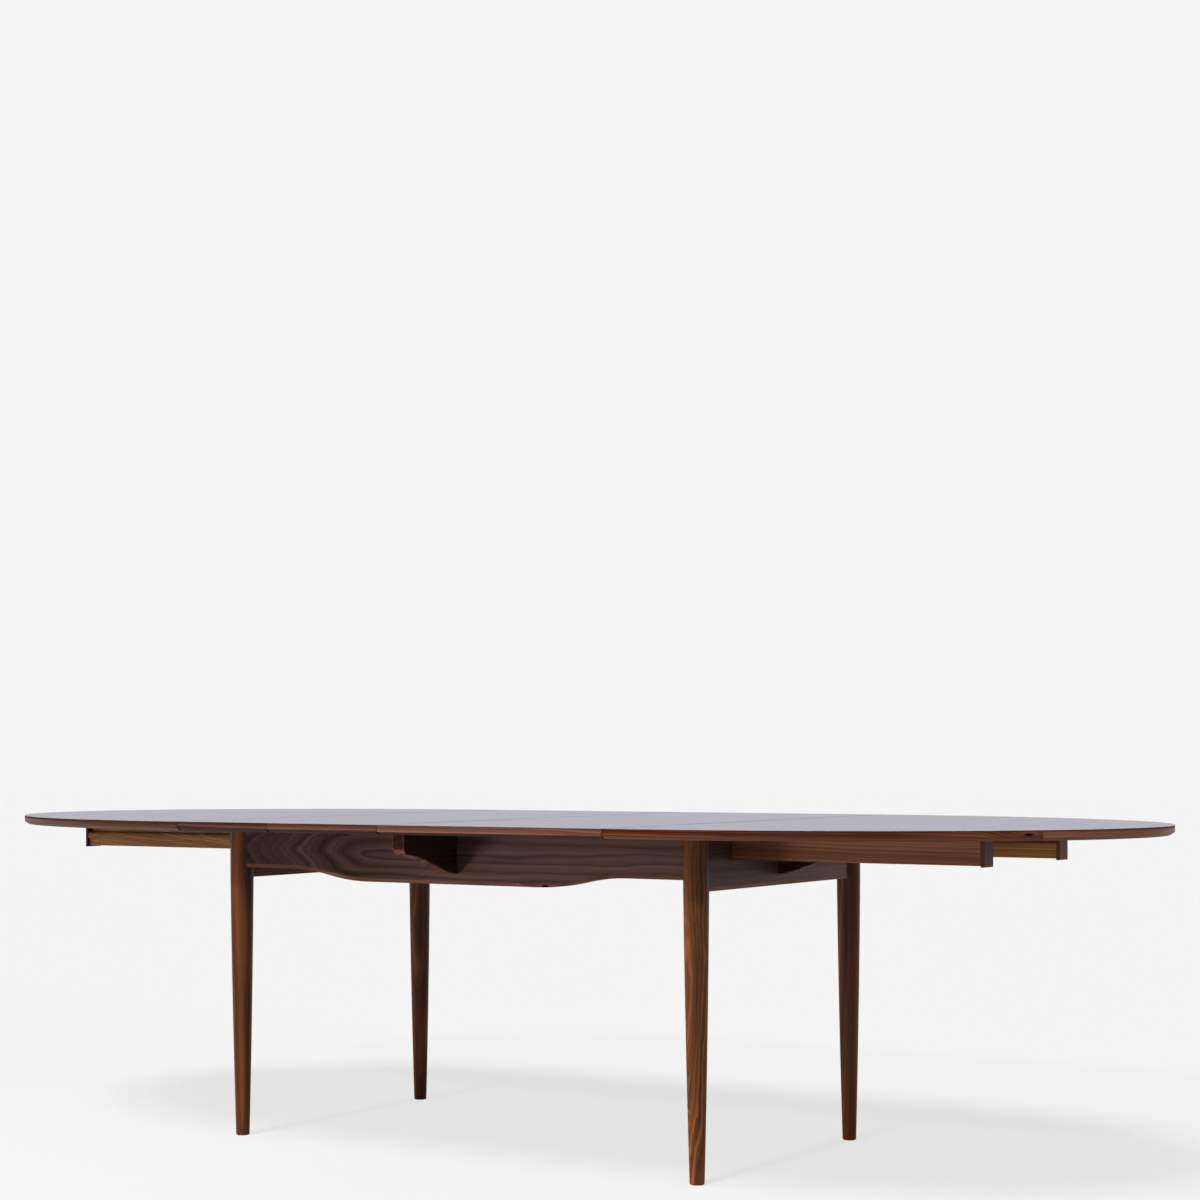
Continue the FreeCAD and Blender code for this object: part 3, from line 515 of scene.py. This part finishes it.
def oval_edge(name, seam_x, end):
    """Section of the edge carried round half an ellipse. A point of the section at a depth
    inside the outline lies at seam + (a - depth) cos t, (b - depth) sin t, for t from -90 to
    90 degrees, short of both by the gap at the seam. The grain attribute holds the way along
    the curve, the depth and the height, and each length of the edge has a material slot of
    its own, counted from the front. Returns the piece and the ways at which its lengths meet
    and end."""
    low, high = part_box("top_%s_edge" % name)
    outer_x, inner_x = (high.x, low.x) if end > 0 else (low.x, high.x)
    half_long, half_short = abs(outer_x - seam_x), high.y
    depth, bevel_height, bevel_width, soft = 0.012, 0.006, 0.009, 0.0008
    section = np.array([(depth, low.z), (bevel_width, low.z),
                        (bevel_width - soft / 2, low.z + soft / 3),
                        (soft / 2, low.z + bevel_height - soft / 3),
                        (0.0, low.z + bevel_height + soft), (0.0, high.z), (depth, high.z)])
    depths, heights = section[:, 0], section[:, 1]
    outermost = depths.argmin()
    start = math.asin(min(1.0, abs(inner_x - seam_x) / half_long))
    limit = math.pi / 2 - start
    meetings = np.linspace(-limit, limit, edge_lengths + 1)
    angles = np.concatenate([np.linspace(a, b, edge_steps + 1)
                             for a, b in zip(meetings, meetings[1:])])
    x = seam_x + end * np.cos(angles)[:, None] * (half_long - depths)
    y = np.sin(angles)[:, None] * (half_short - depths)
    z = np.broadcast_to(heights, x.shape)
    way = np.cumsum(np.hypot(np.diff(x[:, outermost], prepend=x[0, outermost]),
                             np.diff(y[:, outermost], prepend=y[0, outermost])))
    grain = np.stack([np.broadcast_to(way[:, None], x.shape),
                      np.broadcast_to(depths, x.shape), z], axis=-1)
    rounds, corners = x.shape
    index = np.arange(rounds * corners).reshape(rounds, corners)
    near, far = index[:-1], index[1:]
    quads = np.stack([near, np.roll(near, -1, 1), np.roll(far, -1, 1), far], axis=-1)
    quads = quads.reshape(-1, 4)
    end_faces = [index[0][::-1], index[-1]]
    if end < 0:
        quads = quads[:, ::-1]
        end_faces = [index[0], index[-1][::-1]]
    mesh = bpy.data.meshes.new("oval_edge_" + name)
    places = np.stack([x, y, z], axis=-1).reshape(-1, 3)
    mesh.from_pydata(places.tolist(), [], quads.tolist() + [face.tolist() for face in end_faces])
    mesh.attributes.new("grain", "FLOAT_VECTOR", "POINT").data.foreach_set(
        "vector", grain.reshape(-1).astype(np.float32))
    length = np.arange(rounds - 1) // (edge_steps + 1)
    slots = np.concatenate([np.repeat(length, corners), [0, edge_lengths - 1]])
    mesh.polygons.foreach_set("material_index", slots.astype(np.int32))
    return link("oval_edge_" + name, mesh), way[::edge_steps + 1].tolist() + [way[-1]]


# The knot and the fades of the first length on the right are given in the edge's own way,
# depth and height.
veneer_thickness = 0.0016
# The dark line at the glue height is partly the real glue line and partly painted shade along the
# top's edge.
glue_and_shade_height = cad_high[2] - veneer_thickness
knots = {("right", 0): ((0.831, 0.0, 0.7120), (0.0090, 1.0, 0.0030), 0.020)}
edge_fades = {("right", 0): [(0.16, 0.26, -0.10), (0.55, 0.72, 0.29)]}
# The painted colour of the bevels that look down, and its share: painted light and reflection from
# the floor, greyer on the left.
undersides = {"left": ("705848", 0.9), "right": ("A88068", 0.45)}
for number, (end_name, end) in enumerate(ends.items()):
    edge, edge_joints = oval_edge(end_name, end * leaf_width, end)
    for length, tones in enumerate(edge_tones[end_name]):
        edge_wood = wood("sanded_rosewood_oval_edge_%s_%d" % (end_name, length + 1), tones,
                         vein="120705", pith=(0.0, 0.03, 0.62), lean=(0.01, 0.0), ring=0.006,
                         wander=0.006, veins=0.8, roughness=0.30,
                         seed=91.0 + 10 * number + length, attribute="grain", contrast=0.6,
                         fades=edge_fades.get((end_name, length), ()), joints=edge_joints,
                         painted_underside=undersides[end_name], glue_and_shade_line=glue_and_shade_height,
                         knot=knots.get((end_name, length)))
        edge.data.materials.append(edge_wood)
    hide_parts("top_%s_edge" % end_name)
    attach(edge, "top_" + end_name)


# Leaves
# Two loose leaves between the half tops, veneered as they are, with straight solid edges of
# rosewood at the front and back. The left leaf's edges are butted from two lengths, of which
# the outer is darker. On all of them, faces that look down are painted dark as painted shade.
seam_gap = 0.0003
edge_joint = -0.296
tone_step = 0.004
leaf_joints = {"left": (seam_gap - leaf_width, edge_joint, -seam_gap),
               "right": (seam_gap, leaf_width - seam_gap)}
leaf_fades = {"left": [(edge_joint - tone_step, edge_joint + tone_step, 0.17)], "right": ()}
leaf_tones = {"left": ("271412", "40251E", "57362A", "64423A", "72504C"),
              "right": ("351D1A", "543328", "714936", "82584A", "936A61")}
for number, end_name in enumerate(ends):
    finish("leaf_%s_panel" % end_name, top_veneer)
    for side_name, side in sides.items():
        # Their faces that look down take a dark painted colour, as painted shade.
        edge_wood = wood("sanded_rosewood_leaf_edge_%s_%s" % (end_name, side_name),
                         leaf_tones[end_name], vein="1C0D08", pith=(0.0, side * 0.57, 0.62),
                         lean=(0.01, 0.0), ring=0.006, wander=0.006, veins=0.8,
                         roughness=0.30, seed=95.0 + number, joints=leaf_joints[end_name],
                         glue_and_shade_line=glue_and_shade_height, fades=leaf_fades[end_name],
                         painted_underside=("1E1C18", 0.6))
        finish("leaf_%s_edge_%s" % (end_name, side_name), edge_wood)


# Alignment dowels
# Beech dowels glued into one face of each seam, which line up the boards. They are turned,
# so they are a little smoother than the planed beech.
dowel_wood = beech("turned_beech_dowels", height=0.66, seed=49.0, ring=0.003, wander=0.002,
                   roughness=0.48)
for piece in ("top_left", "leaf_left", "leaf_right"):
    finish(piece + "_dowels", dowel_wood)


# Wood screws
# Countersunk steel screws, zinc plated: bright grey with a faint mottle from the plating bath.
# They hold the corner blocks, the brackets, the guides, the runners and the stop blocks.
mottle_size = 0.0015
screw_metal, tree = empty_material("zinc_plated_steel")
place = add(tree, "TexCoord")
mottle = add(tree, "TexNoise", {"Scale": 1 / mottle_size, "Detail": 2.0},
             {"Vector": place.outputs["Object"]})
tint = add(tree, "ValToRGB", {}, {"Fac": mottle.outputs["Fac"]})
fill_ramp(tint, ("8E8C86", "A8A7A2", "BEBEBB"))
dull = add(tree, "MapRange", {"To Min": 0.28, "To Max": 0.45}, {"Value": mottle.outputs["Fac"]})
metal = add(tree, "BsdfPrincipled", {"Metallic": 1.0},
            {"Base Color": tint.outputs["Color"], "Roughness": dull.outputs["Result"]})
add(tree, "OutputMaterial", {}, {"Surface": metal.outputs["BSDF"]})
for name in nodes:
    if "screws" in name:
        finish(name, screw_metal)


# Studio
# A pale floor runs on into a white surround, which lights the table too and is dark only
# behind the camera. Five soft lamps and a low card light the table from the front, both
# sides, behind and below.

# The photograph's camera, found from the table's outline, seams, legs and runners.
view_turn = 0.5777
view_roll = 0.0033
camera_data = bpy.data.cameras.new("camera")
camera_data.sensor_width = 36.0
camera_data.lens = 72.443
camera_data.shift_y = 0.12805
camera = link("camera", camera_data)
camera.location = (3.0844, -4.4922, 0.8644)
camera.rotation_euler = (math.pi / 2, view_roll, view_turn)
bpy.context.scene.camera = camera

# The surround as a light: white ahead of the camera and 10 degrees to its left, darker the
# further round, and dimmer overhead. The camera itself sees an even white.
white = linear("F5F5F5")
world = bpy.data.worlds.new("studio")
bpy.context.scene.world = world
world.use_nodes = True
tree = world.node_tree
tree.nodes.clear()
path = add(tree, "LightPath")
where = add(tree, "TexCoord")
white_heading = view_turn + math.pi / 2 + math.radians(10)
facing = add(tree, "VectorMath", {1: (math.cos(white_heading), math.sin(white_heading), 0.0)},
             {0: where.outputs["Generated"]}, operation="DOT_PRODUCT")
nearness = add(tree, "MapRange", {"From Min": -1.0}, {"Value": facing.outputs["Value"]})
shade = add(tree, "ValToRGB", {}, {"Fac": nearness.outputs["Result"]})
fill_ramp(shade, ("242424", "343434", "747474", "A0A0A0", "FFFFFF"),
          (0.33, 0.44, 0.56, 0.654, 0.80))
upwards = add(tree, "SeparateXYZ", {}, {"Vector": where.outputs["Generated"]})
ceiling = add(tree, "MapRange", {"From Min": 0.10, "From Max": 0.60, "To Min": 1.06,
                                 "To Max": 0.35},
              {"Value": upwards.outputs["Z"]}, interpolation_type="SMOOTHSTEP")
strength = add(tree, "Math", {}, {0: shade.outputs["Color"], 1: ceiling.outputs["Result"]},
               operation="MULTIPLY")
around = add(tree, "Background", {"Color": linear("E6EFFF")},
             {"Strength": strength.outputs["Value"]})
seen = add(tree, "Background", {"Color": white, "Strength": 1.0})
both = add(tree, "MixShader", {}, {0: path.outputs["Is Camera Ray"],
                                   1: around.outputs["Background"],
                                   2: seen.outputs["Background"]})
add(tree, "OutputWorld", {}, {"Surface": both.outputs["Shader"]})

# The floor is painted mid grey, and the camera sees it lifted to the surround's white, with
# part of its shadow left.
floor_half = 40.0
painted = linear("898989")
lifted = linear("E9E8E6")
glow_share = 0.75
corners = [(-1, -1), (1, -1), (1, 1), (-1, 1)]
floor_mesh = bpy.data.meshes.new("floor")
floor_mesh.from_pydata([(x * floor_half, y * floor_half, 0.0) for x, y in corners], [],
                       [(0, 1, 2, 3)])
floor = link("floor", floor_mesh)
paint, tree = empty_material("matt_floor_paint")
path = add(tree, "LightPath")
tone = add(tree, "Mix", {"A": painted, "B": lifted}, {"Factor": path.outputs["Is Camera Ray"]},
           data_type="RGBA")
matt = add(tree, "BsdfDiffuse", {}, {"Color": tone.outputs["Result"]})
glow = add(tree, "Emission", {"Color": white, "Strength": 1.0})
share = add(tree, "Math", {1: glow_share}, {0: path.outputs["Is Camera Ray"]},
            operation="MULTIPLY")
mixed = add(tree, "MixShader", {}, {0: share.outputs["Value"], 1: matt.outputs["BSDF"],
                                    2: glow.outputs["Emission"]})
add(tree, "OutputMaterial", {}, {"Surface": mixed.outputs["Shader"]})
floor_mesh.materials.append(paint)
floor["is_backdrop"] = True


def turned_from(heading, height):
    """Turn of a lamp whose light comes from a heading and a height in degrees."""
    return (math.radians(90 - height), 0.0, math.radians(90 + heading))


# Soft lamps far away: the heading that the light comes from and its height, in degrees, the
# lamp's width in degrees and its strength. At a strength of 1, a surface that faces the lamp
# shows its own colour. A small low lamp under the key makes the legs throw narrow shadows.
# Only these two show as a gleam on the wood.
lamps = {"key_high": (-92, 64, 20, 0.73), "key_low": (-90, 30, 3, 0.27),
         "left_fill": (-147, 9, 22, 0.48), "right_fill": (-20, 20, 24, 0.16),
         "back_fill": (60, 8, 16, 0.42)}
for name, (heading, height, width, strength) in lamps.items():
    sun = bpy.data.lights.new(name, "SUN")
    sun.energy = strength * math.pi
    sun.angle = math.radians(width)
    lamp = link(name, sun)
    lamp.rotation_euler = turned_from(heading, height)
    lamp.visible_glossy = name.startswith("key")

# A low card on the left throws light up under the tops.
card_data = bpy.data.lights.new("card", "AREA")
card_data.shape = "RECTANGLE"
card_data.size = 0.6
card_data.size_y = 0.5
card_data.energy = 19.0
card = link("card", card_data)
card.location = (-1.15, -2.3, 0.25)
card.rotation_euler = turned_from(heading=-121, height=-12)
card.visible_glossy = False
card.visible_camera = False

bpy.context.scene.view_settings.view_transform = "Standard"

low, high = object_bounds()
